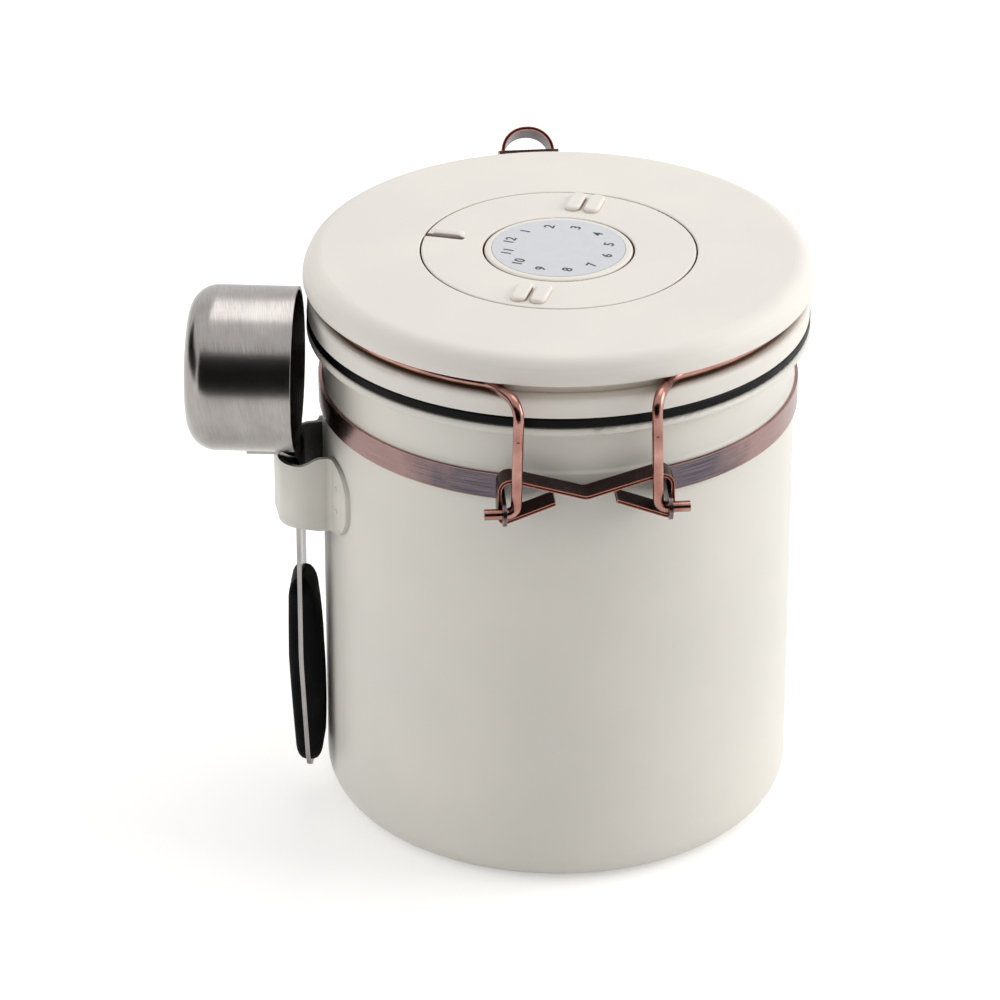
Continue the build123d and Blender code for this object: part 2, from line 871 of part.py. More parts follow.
def pad_thickness(height, low, middle, top):
    """Thickness along a pad: it thins towards both ends from the swell."""
    bottom, head = pad_levels()
    swell = bottom + (head - bottom) * pad_swell_share
    end, thin = (bottom, low) if height < swell else (head, top)
    share = (height - swell) / (end - swell)
    return middle - (middle - thin) * share ** 2


def grip_pad(side, low, middle, top):
    """Moulded pad seated on one face of the tang and as wide as it, with rounded ends."""
    sections = []
    for height, share in pad_rows():
        width = handle_width * (pad_end_width_share + (1 - pad_end_width_share) * share)
        thickness = pad_thickness(height, low, middle, top) * share
        sections.append(pad_section(side, height, width, thickness))
    pad = loft(sections, ruled=True) - handle_sheet(handle_width + overrun)
    return scoop_frame() * pad


def save(shape, node):
    """Writes one node and prints its volume."""
    export_step(shape, f"parts/{node}.step")
    print(node, round(shape.volume), len(shape.solids()))


def main():
    os.makedirs("parts", exist_ok=True)
    pieces = {
        "canister_body": canister_shell(),
        "clamp_band": clamp_band(),
        "band_tie": band_tie(),
        "latch_keeper": latch_keeper(),
        "holster": holster(),
        "lid_shell": lid_shell(),
        "lid_collar": lid_collar(),
        "lid_gasket": lid_gasket(),
        "lid_liner": lid_liner(),
        "lid_wire": lid_wire(),
        "date_ring": date_ring(),
        "dial_cap": dial_cap(),
        "dial_label": dial_label(),
        "valve_seat": valve_seat(),
        "valve_disc": valve_disc(),
        "valve_retainer": valve_retainer(),
        "valve_filter": valve_filter(),
        "latch_lever": latch_lever(),
        "scoop_cup": scoop_cup(),
        "scoop_handle": scoop_handle(),
        "scoop_grip_outer": grip_pad(
            1, pad_outer_end_thickness, pad_outer_thickness, pad_outer_end_thickness
        ),
        "scoop_grip_inner": grip_pad(
            -1, pad_inner_low_thickness, pad_inner_thickness, pad_inner_top_thickness
        ),
    }
    for node, shape in pieces.items():
        save(shape, node)


main()
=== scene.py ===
from math import cos, pi, radians, sin

import bmesh
import bpy
from bpy.props import FloatProperty, FloatVectorProperty, PointerProperty
from bpy.types import Operator, Panel, PropertyGroup
from mathutils import Matrix, Vector


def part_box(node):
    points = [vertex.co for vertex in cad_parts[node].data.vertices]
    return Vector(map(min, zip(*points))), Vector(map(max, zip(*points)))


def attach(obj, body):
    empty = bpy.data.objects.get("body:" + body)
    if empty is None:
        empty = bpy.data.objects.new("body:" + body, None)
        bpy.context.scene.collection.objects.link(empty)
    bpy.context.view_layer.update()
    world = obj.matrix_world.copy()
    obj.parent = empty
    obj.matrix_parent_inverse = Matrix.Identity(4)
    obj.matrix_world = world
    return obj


bl_info = {
    "name": "Coffee canister finish",
    "version": (1, 0, 0),
    "blender": (4, 5, 0),
    "location": "View3D > Sidebar > Canister",
    "description": "Finishes a clamp-lid coffee canister and sets it in a pale studio",
    "category": "Object",
}

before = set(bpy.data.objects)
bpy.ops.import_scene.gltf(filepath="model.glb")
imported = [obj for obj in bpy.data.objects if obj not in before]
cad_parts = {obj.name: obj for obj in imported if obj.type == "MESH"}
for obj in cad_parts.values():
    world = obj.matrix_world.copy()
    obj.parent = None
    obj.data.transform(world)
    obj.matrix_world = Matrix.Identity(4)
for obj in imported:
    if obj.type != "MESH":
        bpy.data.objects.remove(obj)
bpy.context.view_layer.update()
FIGURES = 12
SENSOR_WIDTH = 36.0


def mm(length):
    """Millimetres to metres."""
    return length / 1000


def srgb(code):
    """Turns an sRGB hex value into a linear colour with full alpha."""
    shares = [int(code[place:place + 2], 16) / 255 for place in (1, 3, 5)]
    curve = [s / 12.92 if s <= 0.04045 else ((s + 0.055) / 1.055) ** 2.4 for s in shares]
    return (*curve, 1.0)


def feature(size):
    """Noise scale that draws features of about this size in millimetres."""
    return 1 / mm(size)


# Node trees

# The colour mix's sockets, by number because the node's number mix has the same names
SHARE, UNDER, OVER, MIXED = 0, 6, 7, 2


def add(tree, kind, inputs=None, take=0, **settings):
    """Adds a node, sets it, fills its inputs by name or number, and gives one output."""
    node = tree.nodes.new(kind)
    for name, value in settings.items():
        setattr(node, name, value)
    for name, value in (inputs or {}).items():
        if isinstance(value, bpy.types.NodeSocket):
            tree.links.new(value, node.inputs[name])
        else:
            node.inputs[name].default_value = value
    return node.outputs[take] if node.outputs else None


def new_material(name):
    """Material with an empty node tree."""
    material = bpy.data.materials.new(name)
    material.use_nodes = True
    material.node_tree.nodes.clear()
    return material, material.node_tree


def end_surface(tree, inputs):
    """Ends a tree with a principled surface, whose other inputs keep their defaults."""
    shader = add(tree, "ShaderNodeBsdfPrincipled", inputs)
    add(tree, "ShaderNodeOutputMaterial", {"Surface": shader})


def edge_share(tree, radius, sharpness):
    """1 on edges and corners within a radius in millimetres, 0 on open faces."""
    rounded = add(tree, "ShaderNodeBevel", {"Radius": mm(radius)}, samples=6)
    flat = add(tree, "ShaderNodeNewGeometry", take="Normal")
    agree = {0: rounded, 1: flat}
    agree = add(tree, "ShaderNodeVectorMath", agree, "Value", operation="DOT_PRODUCT")
    limits = {"Value": agree, "From Min": 1.0, "From Max": sharpness}
    return add(tree, "ShaderNodeMapRange", limits)


def hollow_share(tree, reach, start, full):
    """0 in the open to 1 in a hollow, from how much is shut in within a reach in millimetres."""
    open_share = {"Distance": mm(reach)}
    open_share = add(tree, "ShaderNodeAmbientOcclusion", open_share, "AO", samples=8)
    limits = {"Value": open_share, "From Min": 1 - start, "From Max": 1 - full}
    return add(tree, "ShaderNodeMapRange", limits)


def patchy_share(tree, place, size, low, high, detail=2.0, roughness=0.5):
    """0 to 1 in soft patches of about a size in millimetres, from two levels of their noise."""
    noise = {"Vector": place, "Scale": feature(size), "Detail": detail, "Roughness": roughness}
    noise = add(tree, "ShaderNodeTexNoise", noise)
    return add(tree, "ShaderNodeMapRange", {"Value": noise, "From Min": low, "From Max": high})


def white_where_seen(tree):
    """1 for rays from the camera, off gloss and through glass, and 0 for the light itself."""
    path = add(tree, "ShaderNodeLightPath").node.outputs
    seen = {0: path["Is Camera Ray"], 1: path["Is Glossy Ray"]}
    seen = add(tree, "ShaderNodeMath", seen, operation="MAXIMUM")
    seen = {0: seen, 1: path["Is Transmission Ray"]}
    return add(tree, "ShaderNodeMath", seen, operation="MAXIMUM")


# Coated steel and moulded plastic

def powder_coated_steel(name, cool, warm, hollow, reach, start, full):
    """Powder coat baked on steel: a matt ivory skin with fine orange peel, painted shade in
    hollows.
    """
    material, tree = new_material(name)
    place = add(tree, "ShaderNodeTexCoord", take="Object")
    # Orange peel has a wave of about a millimetre, and the sprayed grain is a quarter of that
    peel = add(tree, "ShaderNodeTexNoise", {"Vector": place, "Scale": feature(1.1), "Detail": 1.0})
    grain = add(tree, "ShaderNodeTexNoise", {"Vector": place, "Scale": feature(0.28)})
    drift = patchy_share(tree, place, 42, low=0.35, high=0.65, detail=3.0)
    tint = {SHARE: drift, UNDER: cool, OVER: warm}
    tint = add(tree, "ShaderNodeMix", tint, MIXED, data_type="RGBA")
    # Painted shade: hollows and gaps between parts within the reach take the hollow colour
    deep = hollow_share(tree, reach, start, full)
    tint = {SHARE: deep, UNDER: tint, OVER: hollow}
    tint = add(tree, "ShaderNodeMix", tint, MIXED, data_type="RGBA")
    waves = add(tree, "ShaderNodeBump", {"Height": peel, "Distance": mm(0.012)})
    relief = add(tree, "ShaderNodeBump", {"Height": grain, "Distance": mm(0.006), "Normal": waves})
    end_surface(tree, {
        "Base Color": tint, "Roughness": 0.42, "Specular IOR Level": 0.42, "Normal": relief,
    })
    return material


def moulded_abs(look):
    """ABS from a spark-eroded mould: satin cream, with painted golden and dark shade where walls
    meet.
    """
    material, tree = new_material("moulded_abs")
    place = add(tree, "ShaderNodeTexCoord", take="Object")
    # Spark erosion leaves grains of about 0.2 mm, drawn a little coarser so that they show
    spark = {"Vector": place, "Scale": feature(0.3), "Detail": 3.0, "Roughness": 0.6}
    spark = add(tree, "ShaderNodeTexNoise", spark)
    sink = add(tree, "ShaderNodeTexNoise", {"Vector": place, "Scale": feature(26), "Detail": 1.0})
    drift = patchy_share(tree, place, 33, low=0.35, high=0.65)
    tint = {SHARE: drift, UNDER: look.plastic_cool, OVER: look.plastic_warm}
    tint = add(tree, "ShaderNodeMix", tint, MIXED, data_type="RGBA")
    # Painted shade: where walls meet, the cream is painted golden for the warm shade in the seams
    corner = hollow_share(tree, reach=1.2, start=0.3, full=0.9)
    tint = {SHARE: corner, UNDER: tint, OVER: look.plastic_crevice}
    tint = add(tree, "ShaderNodeMix", tint, MIXED, data_type="RGBA")
    # Painted shade: deep in slots and seams the plastic is painted dark brown
    slot = hollow_share(tree, reach=4.0, start=0.4, full=0.78)
    tint = {SHARE: slot, UNDER: tint, OVER: look.plastic_deep}
    tint = add(tree, "ShaderNodeMix", tint, MIXED, data_type="RGBA")
    waves = add(tree, "ShaderNodeBump", {"Height": sink, "Distance": mm(0.03)})
    relief = add(tree, "ShaderNodeBump", {"Height": spark, "Distance": mm(0.008), "Normal": waves})
    end_surface(tree, {
        "Base Color": tint, "Roughness": 0.5, "Specular IOR Level": 0.45, "Normal": relief,
    })
    return material


def printed_film(look):
    """Polycarbonate film, screen-printed grey-blue: smooth, with a soft sheen."""
    material, tree = new_material("printed_film")
    place = add(tree, "ShaderNodeTexCoord", take="Object")
    mottle = patchy_share(tree, place, 3, low=0.3, high=0.7, detail=4.0)
    tint = {SHARE: mottle, UNDER: look.film, OVER: look.film_pale}
    tint = add(tree, "ShaderNodeMix", tint, MIXED, data_type="RGBA")
    grain = add(tree, "ShaderNodeTexNoise", {"Vector": place, "Scale": feature(0.35)})
    relief = add(tree, "ShaderNodeBump", {"Height": grain, "Distance": mm(0.004)})
    end_surface(tree, {"Base Color": tint, "Roughness": 0.38, "Normal": relief})
    return material


def screen_ink(look):
    """Screen ink on film: dark grey, slightly raised and broken by the mesh it went through."""
    material, tree = new_material("screen_ink")
    place = add(tree, "ShaderNodeTexCoord", take="Object")
    # A printing mesh has about five threads to the millimetre
    marks = patchy_share(tree, place, 0.22, low=0.4, high=0.75)
    tint = {SHARE: marks, UNDER: look.ink, OVER: look.ink_thin}
    tint = add(tree, "ShaderNodeMix", tint, MIXED, data_type="RGBA")
    end_surface(tree, {"Base Color": tint, "Roughness": 0.55})
    return material


def moulded_silicone(look):
    """Silicone from a polished mould: black, with a soft bloom that greys it unevenly."""
    material, tree = new_material("moulded_silicone")
    place = add(tree, "ShaderNodeTexCoord", take="Object")
    bloom = patchy_share(tree, place, 7, low=0.42, high=0.8, detail=4.0, roughness=0.6)
    tint = {SHARE: bloom, UNDER: look.rubber, OVER: look.rubber_bloom}
    tint = add(tree, "ShaderNodeMix", tint, MIXED, data_type="RGBA")
    dull = add(tree, "ShaderNodeMath", {0: bloom, 1: 0.18, 2: 0.38}, operation="MULTIPLY_ADD")
    grain = add(tree, "ShaderNodeTexNoise", {"Vector": place, "Scale": feature(0.4)})
    relief = add(tree, "ShaderNodeBump", {"Height": grain, "Distance": mm(0.01)})
    end_surface(tree, {
        "Base Color": tint, "Roughness": dull, "Specular IOR Level": 0.12, "Normal": relief,
    })
    return material


def moulded_grip_rubber(look):
    """Thermoplastic rubber moulded over steel: black and matt, rubbed smoother in places."""
    material, tree = new_material("moulded_grip_rubber")
    place = add(tree, "ShaderNodeTexCoord", take="Object")
    grain = {"Vector": place, "Scale": feature(0.32), "Detail": 3.0, "Roughness": 0.65}
    grain = add(tree, "ShaderNodeTexNoise", grain)
    rubbed = patchy_share(tree, place, 9, low=0.45, high=0.75, detail=3.0)
    tint = {SHARE: rubbed, UNDER: look.rubber, OVER: look.rubber_bloom}
    tint = add(tree, "ShaderNodeMix", tint, MIXED, data_type="RGBA")
    dull = add(tree, "ShaderNodeMath", {0: rubbed, 1: -0.12, 2: 0.66}, operation="MULTIPLY_ADD")
    relief = add(tree, "ShaderNodeBump", {"Height": grain, "Distance": mm(0.02)})
    end_surface(tree, {
        "Base Color": tint, "Roughness": dull, "Specular IOR Level": 0.1, "Normal": relief,
    })
    return material


def moulded_polypropylene(look):
    """Polypropylene from a polished mould: white, smooth and a little waxy."""
    material, tree = new_material("moulded_polypropylene")
    place = add(tree, "ShaderNodeTexCoord", take="Object")
    drift = patchy_share(tree, place, 5, low=0.35, high=0.65)
    tint = {SHARE: drift, UNDER: look.valve_white, OVER: look.plastic_warm}
    tint = add(tree, "ShaderNodeMix", tint, MIXED, data_type="RGBA")
    grain = add(tree, "ShaderNodeTexNoise", {"Vector": place, "Scale": feature(0.4)})
    relief = add(tree, "ShaderNodeBump", {"Height": grain, "Distance": mm(0.006)})
    end_surface(tree, {"Base Color": tint, "Roughness": 0.34, "Normal": relief})
    return material


def pressed_filter_paper(look):
    """Pressed paper: unbleached, with short fibres that catch the light."""
    material, tree = new_material("pressed_filter_paper")
    place = add(tree, "ShaderNodeTexCoord", take="Object")
    # A fibre is about five times as long as it is wide
    drawn_out = add(tree, "ShaderNodeMapping", {"Vector": place, "Scale": (1.0, 0.2, 1.0)})
    fibres = {"Vector": drawn_out, "Scale": feature(0.25), "Detail": 5.0, "Roughness": 0.7}
    fibres = add(tree, "ShaderNodeTexNoise", fibres)
    share = add(tree, "ShaderNodeMapRange", {"Value": fibres, "From Min": 0.3, "From Max": 0.7})
    tint = {SHARE: share, UNDER: look.paper, OVER: look.paper_pale}
    tint = add(tree, "ShaderNodeMix", tint, MIXED, data_type="RGBA")
    relief = add(tree, "ShaderNodeBump", {"Height": fibres, "Distance": mm(0.05)})
    end_surface(tree, {"Base Color": tint, "Roughness": 0.9, "Normal": relief})
    return material


# Plated, blackened and brushed metal

def antiqued_copper_wire(look):
    """Drawn wire, copper-plated and rubbed back: satin pink copper, painted shade where it lies
    deep.
    """
    material, tree = new_material("antiqued_copper_wire")
    place = add(tree, "ShaderNodeTexCoord", take="Object")
    cloud = add(tree, "ShaderNodeTexNoise", {"Vector": place, "Scale": feature(9), "Detail": 3.0})
    speck = {"Vector": place, "Scale": feature(0.6), "Detail": 3.0, "Roughness": 0.7}
    speck = add(tree, "ShaderNodeTexNoise", speck)
    worn = add(tree, "ShaderNodeMath", {0: speck, 1: 0.2, 2: cloud}, operation="MULTIPLY_ADD")
    worn = add(tree, "ShaderNodeMapRange", {"Value": worn, "From Min": 0.4, "From Max": 0.85})
    tint = {SHARE: worn, UNDER: look.copper_dark, OVER: look.copper}
    tint = add(tree, "ShaderNodeMix", tint, MIXED, data_type="RGBA")
    # Painted shade: where the wire lies deep against the lid and the band it is painted near black
    wire_painted_shade = hollow_share(tree, reach=1.2, start=0.65, full=1.0)
    tint = {SHARE: wire_painted_shade, UNDER: tint, OVER: look.copper_black}
    tint = add(tree, "ShaderNodeMix", tint, MIXED, data_type="RGBA")
    gloss = add(tree, "ShaderNodeMath", {0: speck, 1: 0.14, 2: 0.14}, operation="MULTIPLY_ADD")
    waves = add(tree, "ShaderNodeBump", {"Height": cloud, "Distance": mm(0.01)})
    relief = add(tree, "ShaderNodeBump", {"Height": speck, "Distance": mm(0.004), "Normal": waves})
    end_surface(tree, {"Base Color": tint, "Metallic": 1.0, "Roughness": gloss, "Normal": relief})
    return material


def antiqued_copper_strip(look):
    """Pressed strip, copper-plated and darkened: mahogany faces, edges rubbed to copper."""
    material, tree = new_material("antiqued_copper_strip")
    place = add(tree, "ShaderNodeTexCoord", take="Object")
    cloud = {"Vector": place, "Scale": feature(4), "Detail": 5.0, "Roughness": 0.62}
    cloud = add(tree, "ShaderNodeTexNoise", cloud)
    speck = {"Vector": place, "Scale": feature(0.55), "Detail": 3.0, "Roughness": 0.7}
    speck = add(tree, "ShaderNodeTexNoise", speck)
    worn = add(tree, "ShaderNodeMath", {0: speck, 1: 0.35, 2: cloud}, operation="MULTIPLY_ADD")
    worn = add(tree, "ShaderNodeMapRange", {"Value": worn, "From Min": 0.55, "From Max": 1.0})
    tint = {SHARE: worn, UNDER: look.mahogany, OVER: look.mahogany_worn}
    tint = add(tree, "ShaderNodeMix", tint, MIXED, data_type="RGBA")
    rubbed = edge_share(tree, radius=0.5, sharpness=0.9)
    tint = {SHARE: rubbed, UNDER: tint, OVER: look.copper_bright}
    tint = add(tree, "ShaderNodeMix", tint, MIXED, data_type="RGBA")
    gloss = add(tree, "ShaderNodeMath", {0: worn, 1: -0.1, 2: 0.32}, operation="MULTIPLY_ADD")
    waves = add(tree, "ShaderNodeBump", {"Height": cloud, "Distance": mm(0.02)})
    relief = add(tree, "ShaderNodeBump", {"Height": speck, "Distance": mm(0.006), "Normal": waves})
    end_surface(tree, {"Base Color": tint, "Metallic": 1.0, "Roughness": gloss, "Normal": relief})
    return material


def blackened_band_steel(look):
    """Copper-plated strip, brushed lengthwise and blackened: painted blue reflection by the tie,
    then brown.
    """
    material, tree = new_material("blackened_band_steel")
    place = add(tree, "ShaderNodeTexCoord", take="Object")
    axes = add(tree, "ShaderNodeSeparateXYZ", {"Vector": place}).node.outputs
    bearing = add(tree, "ShaderNodeMath", {0: axes["Y"], 1: axes["X"]}, operation="ARCTAN2")
    # A brushed hair's width and length in millimetres
    hair_width, hair_length = 0.12, 15
    hair_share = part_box("clamp_band")[1].x * hair_width / hair_length
    along = add(tree, "ShaderNodeMath", {0: bearing, 1: hair_share}, operation="MULTIPLY")
    hairs = add(tree, "ShaderNodeCombineXYZ", {"X": along, "Y": axes["Z"]})
    hairs = {"Vector": hairs, "Scale": feature(hair_width), "Detail": 3.0, "Roughness": 0.6}
    hairs = add(tree, "ShaderNodeTexNoise", hairs)
    # Painted reflection: within about 35 mm of the tie, which faces -Y and the camera, blue-grey
    # for the dark it mirrors
    side = add(tree, "ShaderNodeMath", {0: axes["X"]}, operation="ABSOLUTE")
    ahead = add(tree, "ShaderNodeMath", {0: axes["Y"], 1: -1.0}, operation="MULTIPLY")
    turn = add(tree, "ShaderNodeMath", {0: side, 1: ahead}, operation="ARCTAN2")
    cloud = {"Vector": place, "Scale": feature(12), "Detail": 4.0, "Roughness": 0.6}
    cloud = add(tree, "ShaderNodeTexNoise", cloud)
    cloud = add(tree, "ShaderNodeMath", {0: cloud, 1: 0.5, 2: turn}, operation="MULTIPLY_ADD")
    cloud = add(tree, "ShaderNodeMapRange", {"Value": cloud, "From Min": 0.8, "From Max": 1.05})
    tint = {SHARE: cloud, UNDER: look.band_blue, OVER: look.band_brown}
    tint = add(tree, "ShaderNodeMix", tint, MIXED, data_type="RGBA")
    streak = {"Value": hairs, "From Min": 0.35, "From Max": 0.7, "To Max": 0.45}
    streak = add(tree, "ShaderNodeMapRange", streak)
    tint = {SHARE: streak, UNDER: tint, OVER: look.band_pale}
    tint = add(tree, "ShaderNodeMix", tint, MIXED, data_type="RGBA")
    rubbed = {0: edge_share(tree, radius=0.4, sharpness=0.85), 1: 0.7}
    rubbed = add(tree, "ShaderNodeMath", rubbed, operation="MULTIPLY")
    tint = {SHARE: rubbed, UNDER: tint, OVER: look.copper_bright}
    tint = add(tree, "ShaderNodeMix", tint, MIXED, data_type="RGBA")
    gloss = add(tree, "ShaderNodeMath", {0: hairs, 1: 0.16, 2: 0.2}, operation="MULTIPLY_ADD")
    relief = add(tree, "ShaderNodeBump", {"Height": hairs, "Distance": mm(0.006)})
    end_surface(tree, {"Base Color": tint, "Metallic": 1.0, "Roughness": gloss, "Normal": relief})
    return material


def brushed_stainless(look, centre, bearing):
    """Stainless steel spun against a belt: fine hairs round the cup, slightly slanted; painted
    shade inside.
    """
    material, tree = new_material("brushed_stainless")
    place = add(tree, "ShaderNodeTexCoord", take="Object")
    place = {"Vector": place, "Location": centre, "Rotation": (0, 0, bearing)}
    place = add(tree, "ShaderNodeMapping", place, vector_type="TEXTURE")
    axes = add(tree, "ShaderNodeSeparateXYZ", {"Vector": place}).node.outputs
    # Belt hairs are about 0.1 mm wide and 8 mm long; they are drawn 0.16 mm wide to show
    hair_width, hair_length, hair_slant = 0.16, 8, 0.16
    turn = add(tree, "ShaderNodeMath", {0: axes["Y"], 1: axes["Z"]}, operation="ARCTAN2")
    arc = add(tree, "ShaderNodeMath", {0: turn, 1: look.cup_radius}, operation="MULTIPLY")
    slant = {0: arc, 1: hair_slant, 2: axes["X"]}
    slant = add(tree, "ShaderNodeMath", slant, operation="MULTIPLY_ADD")
    along = {0: arc, 1: hair_width / hair_length}
    along = add(tree, "ShaderNodeMath", along, operation="MULTIPLY")
    hairs = add(tree, "ShaderNodeCombineXYZ", {"X": slant, "Y": along})
    hairs = {"Vector": hairs, "Scale": feature(hair_width), "Detail": 4.0, "Roughness": 0.65}
    hairs = add(tree, "ShaderNodeTexNoise", hairs)
    cloud = patchy_share(tree, place, 9, low=0.35, high=0.7, detail=3.0)
    tint = {SHARE: cloud, UNDER: look.steel, OVER: look.steel_pale}
    tint = add(tree, "ShaderNodeMix", tint, MIXED, data_type="RGBA")
    streak = {"Value": hairs, "From Min": 0.3, "From Max": 0.75, "To Max": 0.55}
    streak = add(tree, "ShaderNodeMapRange", streak)
    tint = {SHARE: streak, UNDER: tint, OVER: look.steel_dark}
    tint = add(tree, "ShaderNodeMix", tint, MIXED, data_type="RGBA")
    # Painted shade: deep inside the cup the steel is painted near black
    inside = hollow_share(tree, reach=30, start=0.45, full=0.8)
    tint = {SHARE: inside, UNDER: tint, OVER: look.steel_inside}
    tint = add(tree, "ShaderNodeMix", tint, MIXED, data_type="RGBA")
    gloss = add(tree, "ShaderNodeMath", {0: hairs, 1: 0.18, 2: 0.12}, operation="MULTIPLY_ADD")
    relief = add(tree, "ShaderNodeBump", {"Height": hairs, "Distance": mm(0.007)})
    round_cup = add(tree, "ShaderNodeTangent", direction_type="RADIAL", axis="X")
    end_surface(tree, {
        "Base Color": tint, "Metallic": 1.0, "Roughness": gloss, "Anisotropic": 0.55,
        "Tangent": round_cup, "Normal": relief,
    })
    return material


def pressed_stainless(look):
    """Stainless sheet after pressing: bright, with faint drawing marks."""
    material, tree = new_material("pressed_stainless")
    place = add(tree, "ShaderNodeTexCoord", take="Object")
    marks = {"Vector": place, "Scale": feature(2.2), "Detail": 5.0, "Roughness": 0.65}
    marks = add(tree, "ShaderNodeTexNoise", marks)
    share = add(tree, "ShaderNodeMapRange", {"Value": marks, "From Min": 0.3, "From Max": 0.7})
    tint = {SHARE: share, UNDER: look.steel, OVER: look.steel_pale}
    tint = add(tree, "ShaderNodeMix", tint, MIXED, data_type="RGBA")
    gloss = add(tree, "ShaderNodeMath", {0: marks, 1: 0.12, 2: 0.2}, operation="MULTIPLY_ADD")
    relief = add(tree, "ShaderNodeBump", {"Height": marks, "Distance": mm(0.004)})
    end_surface(tree, {"Base Color": tint, "Metallic": 1.0, "Roughness": gloss, "Normal": relief})
    return material


# Shapes

def finish_node(node, material):
    """Gives a carried-over solid its material."""
    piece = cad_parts[node]
    piece.data.materials.clear()
    piece.data.materials.append(material)


def new_piece(name, mesh_source, material, body):
    """Links a finished bmesh as a piece that rides on a body."""
    mesh = bpy.data.meshes.new(name)
    mesh_source.to_mesh(mesh)
    mesh_source.free()
    piece = bpy.data.objects.new(name, mesh)
    bpy.context.scene.collection.objects.link(piece)
    mesh.materials.append(material)
    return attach(piece, body)


def polar(radius, bearing, height):
    """Point at a bearing about the upright axis."""
    return Vector((radius * cos(bearing), radius * sin(bearing), height))


def facing(spot, outward):
    """Frame at a spot whose Z axis points outward."""
    return Matrix.Translation(spot) @ outward.to_track_quat("Z", "Y").to_matrix().to_4x4()


def dome(source, place, radius, rise, rings=5, sides=20):
    """Adds a low round dome whose base is sunk a little below its seat."""
    rows = []
    for ring in range(rings + 1):
        tilt = ring / rings * pi / 2
        height = rise * sin(tilt) if ring else -rise / 2
        reach = radius * cos(tilt)
        if ring == rings:
            rows.append([source.verts.new(place @ Vector((0, 0, height)))])
            continue
        rows.append([
            source.verts.new(place @ Vector((reach * cos(a), reach * sin(a), height)))
            for a in (side / sides * 2 * pi for side in range(sides))
        ])
    for low, high in zip(rows, rows[1:]):
        for side in range(sides):
            after = (side + 1) % sides
            corners = [low[side], low[after]]
            corners += [high[0]] if len(high) == 1 else [high[after], high[side]]
            source.faces.new(corners)
    source.faces.new(list(reversed(rows[0])))
    for face in source.faces:
        face.smooth = True


def numeral_mesh(figure, height, weight, thickness):
    """One plain printed figure, centred, as a mesh lying face up."""
    curve = bpy.data.curves.new("figure", "FONT")
    curve.body = str(figure)
    curve.size = height
    curve.offset = weight
    curve.extrude = thickness / 2
    curve.align_x = "CENTER"
    curve.align_y = "CENTER"
    curve.resolution_u = 6
    holder = bpy.data.objects.new("figure", curve)
    bpy.context.scene.collection.objects.link(holder)
    bpy.context.view_layer.update()
    mesh = bpy.data.meshes.new_from_object(holder)
    bpy.data.objects.remove(holder)
    bpy.data.curves.remove(curve)
    return mesh


def flat_sheet(name, across, up, material):
    """Flat sheet of the stage, centred, from its half sizes."""
    sheet = bmesh.new()
    corners = [(-across, -up), (across, -up), (across, up), (-across, up)]
    sheet.faces.new([sheet.verts.new((x, y, 0)) for x, y in corners])
    mesh = bpy.data.meshes.new(name)
    sheet.to_mesh(mesh)
    sheet.free()
    mesh.materials.append(material)
    piece = bpy.data.objects.new(name, mesh)
    bpy.context.scene.collection.objects.link(piece)
    return piece


# Settings

def colour(name, code, description):
    """Colour property from an sRGB hex value."""
    return FloatVectorProperty(
        name=name, description=description, default=srgb(code), subtype="COLOR", size=4,
        min=0.0, max=1.0,
    )


def length(name, size, description):
    """Length property from a size in millimetres."""
    return FloatProperty(
        name=name, description=description, default=mm(size), unit="LENGTH", min=0.0
    )


def angle(name, degrees, description):
    """Angle property from degrees."""
    return FloatProperty(
        name=name, description=description, default=radians(degrees), subtype="ANGLE"
    )


def position(name, spot, description):
    """Position property from millimetres."""
    return FloatVectorProperty(
        name=name, description=description, default=[mm(size) for size in spot],
        subtype="TRANSLATION",
    )


def amount(name, value, description):
    """Plain property that isn't negative."""
    return FloatProperty(name=name, description=description, default=value, min=0.0)


